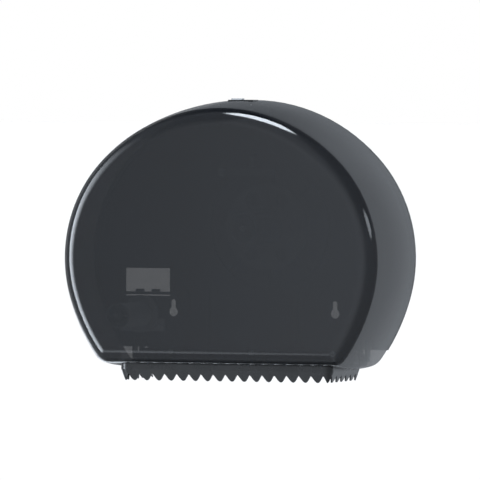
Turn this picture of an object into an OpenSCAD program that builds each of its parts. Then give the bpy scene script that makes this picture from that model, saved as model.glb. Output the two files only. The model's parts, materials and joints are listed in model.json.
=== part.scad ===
// Wall-mounted jumbo toilet roll dispenser.
// Every piece is drawn in the case frame: x to the right, y up from the case's lowest edge,
// z out from the wall. placed() then stands it up, with its origin between the two keyholes.

/* [Case outline] */
// Widest part of the case
case_w = 437; // [425:1:450]
// Height of the case from its lowest edge to its crown
case_h = 336.5; // [330:0.5:345]
// Depth from the wall to the front of the cover
case_d = 133; // [128:1:142]
// How far each end of the flat bottom lies inside the widest part
side_tuck = 66.5; // [64:0.5:72]
// Radius of the two lower corners
corner_r = 27; // [25:1:32]
// Angle from the crown at which the crown's arc ends
crown_a = 46.2; // [44:0.2:49]
// Angle from the crown at which the shoulder's arc ends
shoulder_a = 105.6; // [102:0.2:108]
// Angle from the crown at which the flank's arc ends
flank_a = 125.8; // [122:0.2:130]

/* [Cover] */
// Thickness of the cover's wall
cover_wall = 2.6; // [2.2:0.1:3.2]
// Radius of the rounding between the side wall and the front
edge_r = 20; // [16:1:24]
// How far the side wall has come in where the rounding starts
crease_in = 7; // [5:0.5:9]
// Lean of the side wall where the rounding starts
crease_lean = 10; // [8:0.5:12]
// How much lower the front's outline lies than the back's
crease_drop = 1.4; // [0:0.1:3]
// Gap between the cover's rear edge and the back plate's flange
cover_gap = 0.3; // [0.2:0.1:0.8]

/* [Back plate] */
// Thickness of the back plate
plate_wall = 3; // [2.5:0.1:4]
// Depth of the flange round the back plate
flange_d = 5; // [4:0.5:6]
// Depth of the rim that locates the cover
rim_d = 14; // [11:0.5:17]
// Thickness of the locating rim
rim_wall = 2.2; // [1.8:0.1:3]
// Gap between the locating rim and the cover
rim_gap = 0.7; // [0.5:0.1:1.2]
// Height at which the locating rim starts
rim_from = 78; // [75:1:90]
// Height of the ribs on the back plate
rib_h = 4; // [2:0.5:6]
// Thickness of the ribs
rib_t = 2; // [1.5:0.1:3]
// Distance from the core hub's flange to the round rib
rib_out = 26; // [22:1:30]
// Place of each upright rib from the middle
rib_x = 60; // [50:1:70]
// Height of the cross rib
rib_cross_up = 36; // [32:1:40]
// Height of the screw bosses on the plate
boss_h = 4; // [3.5:0.5:5]
// Wall of a screw boss
boss_wall = 2.4; // [2:0.1:3]

/* [Wall fixing] */
// Distance between the two keyholes
key_spacing = 220; // [200:1:240]
// Height of the keyholes' seats above the case's lowest edge
key_seat_h = 79.5; // [76:0.5:86]
// Half the width of a keyhole's slot
key_slot_r = 3.4; // [2.5:0.1:4]
// Radius of a keyhole's round part
key_head_r = 6.2; // [5:0.1:7]
// Drop from a keyhole's seat to the centre of its round part
key_drop = 12.6; // [11:0.1:15]

/* [Window in the back plate] */
// Width of the window
window_w = 61; // [50:1:66]
// Height of the window
window_h = 30; // [24:1:34]
// Distance of the window's centre from the case's left side
window_in = 73.5; // [70:0.5:77]
// Height of the window's centre
window_up = 107; // [104:1:112]
// Width of each tab on the window's lower edge
tab_w = 11; // [8:0.5:14]
// Height of each tab
tab_h = 3.5; // [2:0.5:6]
// Distance between the two tabs
tab_spacing = 22; // [18:1:26]
// Height of the thin slot under the window
slit_h = 1.6; // [1:0.1:3]
// Drop from the window's lower edge to the thin slot
slit_drop = 3.6; // [3:0.1:6]

/* [Hinge] */
// Depth of the hinge axis
hinge_d = 13; // [12.5:0.1:14]
// Height of the hinge axis
hinge_up = 12; // [11.5:0.1:12.5]
// Radius of the hinge pins
hinge_pin_r = 2; // [1.6:0.1:2.4]
// Radius of the hinge's eyes
hinge_eye_r = 5; // [4.5:0.1:5.2]
// How far each hinge starts inside the end of the flat bottom
hinge_in = 5; // [4:0.5:5.5]
// Thickness of each lug on the back plate
lug_t = 3.6; // [3:0.1:4]
// Thickness of the cover's eye
ear_t = 5; // [4:0.5:5.5]
// Side gap between a lug and an eye
hinge_gap = 0.4; // [0.3:0.1:0.6]
// Height at which the back plate is cut away behind the hinges
bay_up = 22; // [22:0.5:26]

/* [Tear frame] */
// Gap between the tear frame's side and the hinge
tear_side_gap = 3.5; // [3:0.5:6]
// Depth of the front of the tear frame
tear_d = 103.5; // [98:0.5:105]
// Depth of the teeth's tips below the case
tear_low = 16.8; // [15:0.1:18]
// Height of the frame's upright wall above the case's lowest edge
tear_up = 5; // [4:0.5:8]
// Thickness of the frame's wall
tear_wall = 2.4; // [2:0.1:3]
// Thickness of the wall at the teeth's tips
tip_wall = 1.5; // [1.2:0.1:2]
// Radius of the frame's front corners
tear_r = 10; // [8:0.5:12]
// How far the teeth lean in at their tips
tear_lean = 5; // [3:0.5:6]
// Height at which the wall starts to lean in
knee_low = 3; // [2:0.5:4]
// Height of the teeth from root to tip
tooth_h = 9; // [7:0.2:10]
// Distance between teeth, at most
tooth_pitch = 16.4; // [15.5:0.1:17]
// Roundness of the teeth's tips, where 1 gives a plain wave
tooth_round = 0.65; // [0.5:0.05:1]
// Height of the rear bar that holds the frame
tear_bar_up = 21; // [20:0.5:23]
// Thickness of the rear bar
tear_bar_t = 3; // [2.5:0.5:4]
// Distance of the outer screws from the frame's sides
tear_screw_in = 33; // [28:1:40]
// Height of the frame's screws
tear_screw_up = 16.5; // [16:0.5:17]
// Depth to which the side gussets run
gusset_d = 60; // [50:1:70]
// Gap between the tear frame and the cover's mouth
mouth_gap = 1.5; // [1.2:0.1:2.5]

/* [Roll hub] */
// Place of the hub from the middle
hub_x = 22; // [10:1:34]
// Height of the hub above the case's lowest edge
hub_up = 176; // [170:1:182]
// Radius of the fixed axle
axle_r = 8; // [6:0.5:10]
// Outside radius of the turning core hub
core_r = 21.5; // [20:0.5:24]
// Radius of the core hub's flange
core_flange_r = 55; // [48:1:60]
// Thickness of the core hub's flange
core_flange_t = 3; // [2.5:0.5:4]
// Depth of the core hub's front end
core_end_d = 93; // [86:1:98]
// Width of each grip strip on the core hub
grip_w = 6; // [4:0.5:8]
// How far a grip strip stands out
grip_out = 0.2; // [0.1:0.05:0.2]
// Depth of the slot that holds a grip strip
grip_seat = 1.5; // [1.2:0.1:2]
// Wall of the core hub's outer drum
core_wall = 6; // [5:0.5:7]
// Length of the taper at the core hub's front end
core_taper = 6; // [4:0.5:8]
// Radius of the axle's base
axle_base_r = 29; // [28:0.5:32]
// Thickness of the axle's base
axle_base_t = 4; // [3.5:0.5:5]
// Radius of the ring of screws round the axle
hub_screw_ring = 23; // [22:0.5:24]
// Thickness of the cap on the axle
cap_t = 3; // [2.5:0.5:4]

/* [Roll brake] */
// Place of the brake's pivot from the hub
brake_x = -62; // [-66:1:-58]
// Height of the brake's pivot above the hub
brake_up = 69; // [67:1:72]
// Radius of the brake's pivot
brake_pin_r = 2.5; // [2:0.1:3]
// Width of the brake's arm
brake_arm_w = 9; // [8:0.5:10]
// Depth of the brake's arm, front to back
brake_arm_t = 4; // [3:0.5:5]
// Height of the brake's spring
brake_spring_h = 16; // [14:1:20]

/* [Stub roll holder] */
// Distance of the stub roll from the case's left side
stub_in = 68.5; // [65:0.5:72]
// Height of the stub roll above the case's lowest edge
stub_up = 64; // [60:1:68]
// Radius of the stub roll's axle
stub_axle_r = 5; // [4:0.5:6]
// Outside radius of the stub roll's spool
spool_r = 16; // [14:0.5:18]
// Radius of the spool's flange
spool_flange_r = 24; // [21:1:26]
// Depth of the spool's front end
spool_end_d = 92; // [84:1:98]
// Thickness of the spool's flange
spool_flange_t = 2.4; // [2:0.2:3]
// Half the length of the bracket's bar
stub_bar_half = 30; // [28:1:32]
// Width of the bracket's bar
stub_bar_w = 16; // [14:1:18]
// Thickness of the bracket's base
stub_base_t = 3; // [2.5:0.5:4]
// Place of each bracket screw from the stub roll
stub_screw_x = 22; // [20:0.5:24]
// Thickness of the cap on the stub roll's axle
stub_cap_t = 2.4; // [2:0.2:3]

/* [Lock] */
// Depth of the lock's centre
lock_d = 40; // [38:1:42]
// Place of the push button from the middle
button_x = -7; // [-7.5:0.1:-6.5]
// Width of the push button
button_w = 14; // [12:0.5:15]
// Depth of the push button, front to back
button_t = 9; // [8:0.5:10]
// How far the button stands out of the bezel
button_proud = 1.8; // [1:0.1:2.5]
// Travel of the button
button_travel = 3; // [2:0.1:3]
// Place of the key barrel from the middle
barrel_x = 10; // [9.5:0.1:10.5]
// Radius of the key barrel
barrel_r = 4.2; // [3.5:0.1:4.5]
// Half the width of the lock's bezel
bezel_half = 17; // [17:0.5:19]
// How far the bezel stands above the crown
bezel_up = 0.6; // [0.4:0.1:1]
// Depth of the latch's pivot
latch_pivot_d = 64; // [62:0.5:66]
// Drop from the crown to the latch's pivot
latch_drop = 18.5; // [18.2:0.1:19]
// Radius of the latch's pivot pin
latch_pin_r = 2; // [1.6:0.1:2.2]
// Turn of the latch between locked and released
latch_turn = 7.5; // [6.5:0.1:8]
// Width of the latch arm
latch_w = 26; // [22:0.5:27]
// Depth at which the latch's hook ends, near the wall
hook_d = 15; // [14.8:0.1:15.5]
// Thickness of the latch's hook, front to back
hook_t = 3.2; // [3:0.1:3.6]
// Height of the hook above the arm
hook_h = 6; // [5:0.1:7]
// Half the width of the keeper's plate
keeper_half = 22; // [21:0.5:23]
// Thickness of the keeper's plate
keeper_plate_t = 2; // [1.5:0.1:2.5]
// Thickness of the keeper's lip
keeper_t = 2.5; // [2:0.1:2.8]
// Gap between the hook and the keeper's lip
keeper_gap = 1.1; // [0.8:0.1:1.4]

/* [Fits] */
// Radial clearance of a pin or shaft that turns in a bore
run_gap = 0.05; // [0.02:0.01:0.09]
// Radial clearance of a pin or screw that is held in a bore
seat_gap = 0.02; // [0.01:0.01:0.05]
// Gap between flat faces that slide
slide_gap = 0.3; // [0.2:0.05:0.5]
// Radial clearance of a screw in the piece that it holds down
hole_gap = 0.1; // [0.05:0.05:0.3]
// Radius of the shank of a small screw
screw_r = 1.8; // [1.4:0.1:2]
// Radius of the head of a small screw
screw_head_r = 3.6; // [3:0.1:4]
// Height of the head of a small screw
screw_head_h = 2.2; // [1.8:0.1:2.6]

/* [Hidden] */
$fn = 64;

smoke = [0.16, 0.165, 0.175, 0.8];
black = [0.09, 0.09, 0.1];
charcoal = [0.14, 0.145, 0.15];
steel = [0.72, 0.73, 0.75];
light_grey = [0.72, 0.73, 0.74];
mid_grey = [0.34, 0.35, 0.36];
rubber = [0.05, 0.05, 0.05];

// ---- case outline: four tangent arcs a side, solved from the width, the height and the tuck ----
s1 = sin(crown_a);
c1 = cos(crown_a);
s2 = sin(shoulder_a);
c2 = cos(shoulder_a);
s3 = sin(flank_a);
c3 = cos(flank_a);
flank_base = (side_tuck - corner_r * s3) / (s2 - s3);
flank_rate = (1 - s2) / (s2 - s3);
shoulder_need = case_h - case_w / 2 * (1 - c1) / s1 - flank_base * (c2 - c3) - corner_r * (1 + c3);
shoulder_r = shoulder_need / ((c1 - c2) - (1 - s1) * (1 - c1) / s1 - flank_rate * (c2 - c3));
flank_r = flank_base - flank_rate * shoulder_r;
crown_r = (case_w / 2 - shoulder_r * (1 - s1)) / s1;
crown_c = [0, case_h - crown_r];
shoulder_c = crown_c + (crown_r - shoulder_r) * [s1, c1];
flank_c = shoulder_c + (shoulder_r - flank_r) * [s2, c2];
corner_c = flank_c + (flank_r - corner_r) * [s3, c3];

// Points of an arc that starts at angle a and ends just before angle b, both from the crown.
function arc(c, r, a, b, n) = [for (i = [0 : n - 1]) let (q = a + (b - a) * i / n) c + r * [sin(q), cos(q)]];
function right_side(e) = concat(
    arc(crown_c, crown_r - e, 0, crown_a, 14),
    arc(shoulder_c, shoulder_r - e, crown_a, shoulder_a, 18),
    arc(flank_c, flank_r - e, shoulder_a, flank_a, 8),
    arc(corner_c, corner_r - e, flank_a, 180, 10),
    [[corner_c[0], e]]
);
// The whole outline, e inside the case's own.
function outline(e) = let (r = right_side(e), n = len(r))
    concat(r, [for (i = [n - 1 : -1 : 1]) [-r[i][0], r[i][1]]]);

// ---- cover's wall, from its rear edge round to the front ----
cover_from = flange_d + cover_gap;
side_run = case_d - edge_r + edge_r * sin(crease_lean) - cover_from;
side_b = side_run * tan(crease_lean) - crease_in;
side_a = crease_in - side_b;
edge_in = crease_in + edge_r * cos(crease_lean);
edge_d = case_d - edge_r;
side_steps = 7;
edge_steps = 9;
function side_slope(t) = atan((side_a + 2 * side_b * t) / side_run);
function side_point(t, w) = [
    side_a * t + side_b * t * t + w * cos(side_slope(t)),
    cover_from + side_run * t - (t == 0 ? 0 : w * sin(side_slope(t))),
    crease_drop * t
];
function edge_point(a, w) = [edge_in - (edge_r - w) * cos(a), edge_d + (edge_r - w) * sin(a), crease_drop];
// Each entry is [how far inside the outline, depth, drop], on the face that lies w inside the outer one.
function wall_line(w) = concat(
    [for (i = [0 : side_steps]) side_point(i / side_steps, w)],
    [for (i = [1 : edge_steps]) edge_point(crease_lean + (90 - crease_lean) * i / edge_steps, w)]
);
function ring(p) = [for (q = outline(p[0])) [q[0], q[1] - p[2], p[1]]];
// Height of the crown's outer face at a depth.
function crown_at(d) = let (t = (d - cover_from) / side_run)
    case_h - side_a * t - side_b * t * t - crease_drop * t;

// Faces between rings of n points each, in order, with the first ring's far side left open.
function between(n, k) = [for (j = [0 : k - 2], i = [0 : n - 1], h = [0, 1])
    h == 0 ? [j * n + i, j * n + (i + 1) % n, (j + 1) * n + (i + 1) % n]
           : [j * n + i, (j + 1) * n + (i + 1) % n, (j + 1) * n + i]];

// ---- shared places ----
past = 1; // how far a cut runs past a face
flat_half = case_w / 2 - side_tuck;
hinge_x = flat_half - hinge_in;
tear_half = hinge_x - tear_side_gap;
window_x = window_in - case_w / 2;
stub_x = stub_in - case_w / 2;
mouth_half = tear_half + mouth_gap;
mouth_d = tear_d + 2 * mouth_gap;
tab_half = mouth_half - mouth_gap / 3;
window_low = window_up - window_h / 2;
pad_half = bezel_half + 9;
pad_from = lock_d - 17;
pad_to = latch_pivot_d + 9;
pad_low = crown_at(pad_to) - cover_wall - pad_half * pad_half / crown_r / 2 - 0.8;
bezel_t = button_t + 8;
bezel_top = crown_at(lock_d) + bezel_up;
flange_low = pad_low - 3;
well_low = bezel_top - 13;
floor_low = well_low - 1.6;
latch_up = crown_at(lock_d) - latch_drop;
latch_t = 3;
hook_top = latch_up + latch_t / 2 + hook_h;
keeper_from = hook_d + hook_t + keeper_gap;
brake_at = [hub_x + brake_x, hub_up + brake_up];
pad_gap = 0.3;
brake_rest_up = hub_up + core_flange_r + pad_gap;
brake_pad_h = brake_at[1] - brake_arm_w / 2 - brake_rest_up;
boss_d = plate_wall + boss_h;
brake_d = boss_d;
core_from = boss_d + axle_base_t + slide_gap;
core_len = core_end_d - core_from;
axle_end = core_end_d + slide_gap;
spool_from = boss_d + stub_base_t + slide_gap + screw_head_h + 1;
stub_end = spool_end_d + slide_gap;

module placed() translate([0, 0, -key_seat_h]) rotate([90, 0, 0]) children();

// A bar whose length runs along x, y or z, from the point given.
module along_x(p, r, l) translate(p) rotate([0, 90, 0]) cylinder(r = r, h = l);
module along_y(p, r, l) translate(p) rotate([-90, 0, 0]) cylinder(r = r, h = l);
module block(lo, hi) translate(lo) cube(hi - lo);

// A pan-head screw along z, its head's seat at z = 0.
module screw(shank, r = screw_r, head = screw_head_r, head_h = screw_head_h) {
    difference() {
        cylinder(r = head, h = head_h);
        for (a = [0, 90]) rotate([0, 0, a])
            translate([-head * 0.6, -head * 0.12, head_h * 0.45]) cube([head * 1.2, head * 0.24, head_h]);
    }
    translate([0, 0, -shank]) cylinder(r = r, h = shank + 0.1);
}

// A coil spring along y, from y0 to y1 at [x, z], of mean radius r and wire radius w.
module coil(x, z, y0, y1, r, w, turns) {
    sides = 6;
    steps = 14;
    n = turns * steps;
    rise = y1 - y0 - 2 * w;
    pts = [for (i = [0 : n], j = [0 : sides - 1]) let (
            a = 360 * i / steps,
            b = -360 * j / sides,
            q = r + w * cos(b)
        ) [x + q * cos(a), y0 + w + rise * i / n + w * sin(b), z + q * sin(a)]];
    tube = between(sides, n + 1);
    ends = [[for (j = [sides - 1 : -1 : 0]) j], [for (j = [0 : sides - 1]) n * sides + j]];
    polyhedron(points = pts, faces = concat(tube, ends), convexity = 8);
}

// ---- back plate ----
screw_end = 0.6;
// Places of the screws: [x, y].
hub_screws = [for (a = [90, 210, 330]) [hub_x, hub_up] + hub_screw_ring * [cos(a), sin(a)]];
stub_bar_up = stub_up - spool_flange_r + 10;
stub_screws = [for (x = [-1, 1]) [stub_x + x * stub_screw_x, stub_bar_up]];
tear_screws = [for (x = [-1, 0, 1]) [x * (tear_half - tear_screw_in), tear_screw_up]];
keeper_screw_x = keeper_half - 5;
keeper_up = case_h - cover_wall - rim_gap - rim_wall - screw_head_r - 1.9;
hook_bite = 3.4;
brake_eye_r = 7;
key_ring_r = 24;
keeper_screws_at = [for (x = [-1, 1]) [x * keeper_screw_x, keeper_up]];

module keyhole(x) translate([x, key_seat_h, -past]) {
    cylinder(r = key_slot_r, h = case_d);
    translate([-key_slot_r, -key_drop, 0]) cube([2 * key_slot_r, key_drop, case_d]);
    translate([0, -key_drop, 0]) cylinder(r = key_head_r, h = case_d);
}

module window_cut() {
    difference() {
        block([window_x - window_w / 2, window_low, -past],
              [window_x + window_w / 2, window_low + window_h, case_d]);
        for (x = [-1, 1]) translate([window_x + x * tab_spacing / 2 - tab_w / 2, window_low - past, -2 * past])
            cube([tab_w, tab_h + past, 2 * case_d]);
    }
    block([window_x - window_w / 2, window_low - slit_drop - slit_h, -past],
          [window_x + window_w / 2, window_low - slit_drop, case_d]);
}

bite = 0.2; // how far a rib or boss runs into the plate that carries it
module boss(p) translate([p[0], p[1], plate_wall - bite]) cylinder(r = screw_r + boss_wall, h = boss_h + bite);
module pilot(p) translate([p[0], p[1], screw_end - bite]) cylinder(r = screw_r + seat_gap, h = case_d);

ring_r = core_flange_r + rib_out;
spoke_from = axle_base_r + rib_t;
rib_low = bay_up + 4;
rib_top = rib_cross_up + rib_x;
module plate_ribs() {
    d = plate_wall + rib_h;
    brake_room = brake_arm_w + 3;
    difference() {
        translate([hub_x, hub_up, plate_wall - bite]) cylinder(r = ring_r, h = rib_h + bite);
        translate([hub_x, hub_up, 0]) cylinder(r = ring_r - rib_t, h = case_d);
        block([brake_at[0] - brake_room, brake_at[1] - brake_room, 0], [hub_x + brake_room, case_h, case_d]);
    }
    for (a = [0, 45, 180, 225, 270, 315]) translate([hub_x, hub_up, plate_wall - bite]) rotate([0, 0, a])
        translate([spoke_from, -rib_t / 2, 0]) cube([ring_r - spoke_from - rib_t / 4, rib_t, rib_h + bite]);
    for (x = [-rib_x, rib_x]) block([x - rib_t / 2, rib_low, plate_wall - bite], [x + rib_t / 2, rib_top, d]);
    block([-key_spacing / 2 + 10, rib_cross_up, plate_wall - bite],
          [key_spacing / 2 - 10, rib_cross_up + rib_t, d]);
}

module hinge_lug(x) {
    difference() {
        union() {
            block([x, bay_up, plate_wall / 2], [x + lug_t, bay_up + hinge_up, hinge_d + hinge_eye_r]);
            block([x, hinge_up, hinge_d - hinge_eye_r], [x + lug_t, bay_up + past, hinge_d + hinge_eye_r]);
            along_x([x, hinge_up, hinge_d], hinge_eye_r, lug_t);
        }
        along_x([x - past, hinge_up, hinge_d], hinge_pin_r + seat_gap, lug_t + 2 * past);
    }
}
outer_lug_x = hinge_x + lug_t + ear_t + 2 * hinge_gap;

module back_plate() color(black) placed() {
    difference() {
        union() {
            linear_extrude(plate_wall) polygon(outline(0));
            linear_extrude(flange_d) difference() {
                polygon(outline(0));
                polygon(outline(cover_wall + rim_gap + rim_wall));
            }
            difference() {
                linear_extrude(rim_d) difference() {
                    polygon(outline(cover_wall + rim_gap));
                    polygon(outline(cover_wall + rim_gap + rim_wall));
                }
                block([-case_w, -past, flange_d - bite], [case_w, rim_from, rim_d + past]);
            }
            plate_ribs();
            for (p = concat(hub_screws, stub_screws, tear_screws, keeper_screws_at)) boss(p);
            translate([brake_at[0], brake_at[1], plate_wall - bite])
                cylinder(r = brake_eye_r - 1, h = brake_d - plate_wall + bite);
            for (x = [-1, 1]) translate([x * key_spacing / 2, key_seat_h, plate_wall - bite]) difference() {
                cylinder(r = key_ring_r, h = rib_t - bite);
                translate([0, 0, -past]) cylinder(r = key_ring_r - rib_t, h = rib_t + 2 * past);
            }
        }
        for (x = [-1, 1]) scale([x, 1, 1]) block([tab_half, -past, -past], [case_w, bay_up, case_d]);
        block([-tab_half, -past, plate_wall], [tab_half, hinge_up, flange_d + past]);
        for (x = [-1, 1]) keyhole(x * key_spacing / 2);
        window_cut();
        for (p = concat(hub_screws, stub_screws, tear_screws, keeper_screws_at, [brake_at])) pilot(p);
    }
    spring_seat();
    for (x = [0, 1]) mirror([x, 0, 0]) {
        hinge_lug(hinge_x);
        hinge_lug(outer_lug_x);
    }
}

pin_head_t = 1.2;
pin_head_gap = 0.1;
module hinge_pins() color(steel) placed() for (x = [0, 1]) mirror([x, 0, 0]) {
    from = hinge_x - pin_head_gap;
    along_x([from, hinge_up, hinge_d], hinge_pin_r, outer_lug_x + lug_t + hinge_pin_r / 3 - from);
    along_x([from - pin_head_t, hinge_up, hinge_d], hinge_pin_r + 1, pin_head_t);
}

// ---- tear frame ----
// The frame's wall follows a path round the front and the two sides, given as
// [x, z, outward x, outward z, how far a tooth reaches there].
front_half = tear_half - tear_r;
side_len = tear_d - tear_r - plate_wall - 0.4;
corner_len = tear_r * PI / 2;
half_len = front_half + corner_len + side_len;
tooth_steps = 10;
half_teeth = round(2 * half_len / tooth_pitch) / 2;
step_len = half_len / (half_teeth * tooth_steps);
// How far a tooth reaches at a distance along the path, from 0 at a root to 1 at a tip.
function reach(s) = pow((1 - cos(360 * s / (step_len * tooth_steps))) / 2, tooth_round);
function tear_place(s) = s <= front_half ? [s, tear_d, 0, 1]
    : s <= front_half + corner_len ? let (a = 90 * (s - front_half) / corner_len)
        [front_half + tear_r * sin(a), tear_d - tear_r + tear_r * cos(a), sin(a), cos(a)]
    : [tear_half, tear_d - tear_r - (s - front_half - corner_len), 1, 0];
function tear_path() = [for (i = [-half_teeth * tooth_steps : half_teeth * tooth_steps])
    let (s = abs(i) * step_len, p = tear_place(s), side = i < 0 ? -1 : 1)
    [side * p[0], p[1], side * p[2], p[3], reach(s)]];
root_low = tear_low - tooth_h;
function tear_in(y) = tear_lean * max(0, -knee_low - y) / (tear_low - knee_low);
// Six points of the wall's section at one step of the path, inner face first, then outer.
function tear_ring(p) = let (
        low = -root_low - tooth_h * p[4],
        t = tear_wall + (tip_wall - tear_wall) * p[4],
        at = function (y, w) let (q = tear_in(y) + w) [p[0] - p[2] * q, y, p[1] - p[3] * q]
    ) [at(tear_up, tear_wall), at(-knee_low, tear_wall), at(low, t),
       at(low, 0), at(-knee_low, 0), at(tear_up, 0)];

module tear_frame() color(charcoal) placed() {
    path = tear_path();
    n = len(path);
    tube = between(6, n);
    ends = [[5, 4, 3, 2, 1, 0], [for (j = [0 : 5]) (n - 1) * 6 + j]];
    difference() {
        union() {
            polyhedron(points = [for (p = path) each tear_ring(p)], faces = concat(tube, ends), convexity = 10);
            block([-tear_half + bite, -knee_low, boss_d], [tear_half - bite, tear_bar_up, boss_d + tear_bar_t]);
            for (x = [-1, 1]) scale([x, 1, 1]) tear_gusset();
        }
        for (p = tear_screws) translate([p[0], p[1], 0]) cylinder(r = screw_r + hole_gap, h = case_d);
    }
}
module tear_gusset() translate([tear_half - tear_wall - bite / 2, 0, 0]) rotate([90, 0, 90])
    linear_extrude(tear_wall)
    polygon([[tear_up - past, boss_d], [tear_up - past, gusset_d], [tear_up + tear_wall, gusset_d],
             [tear_bar_up, boss_d + 3 * tear_bar_t], [tear_bar_up, boss_d]]);

module tear_frame_screws() color(steel) placed() for (p = tear_screws)
    translate([p[0], p[1], boss_d + tear_bar_t]) screw(boss_d + tear_bar_t - screw_end);

// ---- roll hub ----
axle_screw_d = boss_d + 1.4;
axle_bore = 16;
module hub_axle() color(mid_grey) placed() translate([hub_x, hub_up, 0]) difference() {
    union() {
        translate([0, 0, boss_d]) cylinder(r = axle_base_r, h = axle_base_t);
        translate([0, 0, boss_d]) cylinder(r = axle_r, h = axle_end - boss_d);
    }
    for (p = hub_screws) translate([p[0] - hub_x, p[1] - hub_up, 0]) {
        cylinder(r = screw_r + hole_gap, h = case_d);
        translate([0, 0, axle_screw_d]) cylinder(r = screw_head_r + slide_gap, h = case_d);
    }
    translate([0, 0, axle_end - axle_bore]) cylinder(r = screw_r + seat_gap, h = case_d);
}
module hub_axle_screws() color(steel) placed() for (p = hub_screws)
    translate([p[0], p[1], axle_screw_d]) screw(axle_screw_d - screw_end);

grip_at = [60, 180, 300];
grip_sink = 0.5; // how far a strip's end is let into the flange
grip_from = core_flange_t - grip_sink;
grip_start = core_flange_t + slide_gap;
web_t = 2.4;
sleeve_r = axle_r + 3;
lighten_r = 8;
lighten_ring = core_flange_r - 15;
module grip_slot() translate([core_r - grip_seat, -grip_w / 2, grip_from])
    cube([grip_seat + past, grip_w, case_d]);
module core_hub() color(mid_grey) placed() translate([hub_x, hub_up, core_from]) difference() {
    union() {
        cylinder(r = core_flange_r, h = core_flange_t);
        cylinder(r = core_r, h = core_len - core_taper);
        translate([0, 0, core_len - core_taper])
            cylinder(r1 = core_r, r2 = core_r - core_taper / 1.5, h = core_taper);
    }
    translate([0, 0, -past]) cylinder(r = axle_r + run_gap, h = case_d);
    difference() {
        translate([0, 0, 2 * core_flange_t]) cylinder(r = core_r - core_wall, h = case_d);
        translate([0, 0, core_flange_t]) cylinder(r = sleeve_r, h = 2 * case_d);
        for (a = [30 : 120 : 270]) rotate([0, 0, a])
            translate([0, -web_t / 2, core_flange_t]) cube([core_r, web_t, 2 * case_d]);
    }
    for (a = grip_at) rotate([0, 0, a]) grip_slot();
    for (a = [0 : 60 : 300]) rotate([0, 0, a]) translate([lighten_ring, 0, -past])
        cylinder(r = lighten_r, h = core_flange_t + 2 * past);
}
module core_grips() color(rubber) placed() translate([hub_x, hub_up, core_from]) for (a = grip_at)
    rotate([0, 0, a]) intersection() {
        grip_slot();
        translate([0, 0, grip_start]) cylinder(r = core_r + grip_out, h = core_len - core_taper - grip_start);
    }

cap_over = 6.5;
module hub_cap() color(black) placed() translate([hub_x, hub_up, axle_end]) difference() {
    union() {
        cylinder(r = axle_r + cap_over, h = cap_t - 1);
        translate([0, 0, cap_t - 1]) cylinder(r1 = axle_r + cap_over, r2 = axle_r + cap_over - 1, h = 1);
    }
    translate([0, 0, -past]) cylinder(r = screw_r + hole_gap, h = cap_t + 2 * past);
}
module hub_cap_screw() color(steel) placed()
    translate([hub_x, hub_up, axle_end + cap_t]) screw(axle_bore - 2 + cap_t);

// ---- roll brake ----
brake_past = 9;
module brake_arm() color(mid_grey) placed()
    translate([brake_at[0], brake_at[1], brake_d + slide_gap]) difference() {
    union() {
        cylinder(r = brake_eye_r, h = brake_arm_t);
        translate([0, -brake_arm_w / 2, 0]) cube([brake_past - brake_x, brake_arm_w, brake_arm_t]);
    }
    translate([0, 0, -past]) cylinder(r = brake_pin_r + run_gap, h = brake_arm_t + 2 * past);
}
module brake_pad() color(rubber) placed()
    block([hub_x - brake_past, brake_rest_up, brake_d + slide_gap],
          [hub_x + brake_past, brake_rest_up + brake_pad_h, core_from + core_flange_t]);
brake_head_from = brake_d + brake_arm_t + 2 * slide_gap;
module brake_pivot_screw() color(steel) placed() translate([brake_at[0], brake_at[1], 0]) {
    translate([0, 0, brake_d]) cylinder(r = brake_pin_r, h = brake_head_from - brake_d + bite);
    translate([0, 0, screw_end]) cylinder(r = screw_r, h = brake_d - screw_end + bite);
    translate([0, 0, brake_head_from]) screw(bite, r = brake_pin_r, head = 2 * brake_pin_r);
}
brake_spring_r = 3;
brake_spring_wire = 0.45;
brake_spring_x = hub_x - 22;
brake_spring_d = brake_d + slide_gap + brake_arm_t / 2;
brake_spring_up = brake_at[1] + brake_arm_w / 2;
module brake_spring() color(steel) placed() coil(brake_spring_x, brake_spring_d, brake_spring_up,
    brake_spring_up + brake_spring_h, brake_spring_r, brake_spring_wire, 6);
spring_seat_half = brake_spring_r + 2;
spring_seat_up = brake_spring_up + brake_spring_h;
module spring_seat() block([brake_spring_x - spring_seat_half, spring_seat_up, plate_wall - bite],
    [brake_spring_x + spring_seat_half, spring_seat_up + rib_t, brake_spring_d + spring_seat_half]);

// ---- stub roll holder ----
stub_top_d = boss_d + stub_base_t;
stub_bore = 12;
spool_wall = 2;
spool_floor = spool_flange_t + 1.6;
module stub_bracket() color(light_grey) placed() difference() {
    union() {
        translate([stub_x, stub_up, boss_d]) cylinder(r = spool_r - spool_wall, h = stub_base_t);
        block([stub_x - stub_bar_half, stub_bar_up - stub_bar_w / 2, boss_d],
              [stub_x + stub_bar_half, stub_bar_up + stub_bar_w / 2, stub_top_d]);
        translate([stub_x, stub_up, boss_d]) cylinder(r = stub_axle_r, h = stub_end - boss_d);
    }
    for (p = stub_screws) translate([p[0], p[1], 0]) cylinder(r = screw_r + hole_gap, h = case_d);
    translate([stub_x, stub_up, stub_end - stub_bore]) cylinder(r = screw_r + seat_gap, h = case_d);
}
module stub_bracket_screws() color(steel) placed() for (p = stub_screws)
    translate([p[0], p[1], stub_top_d]) screw(stub_top_d - screw_end);
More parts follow.
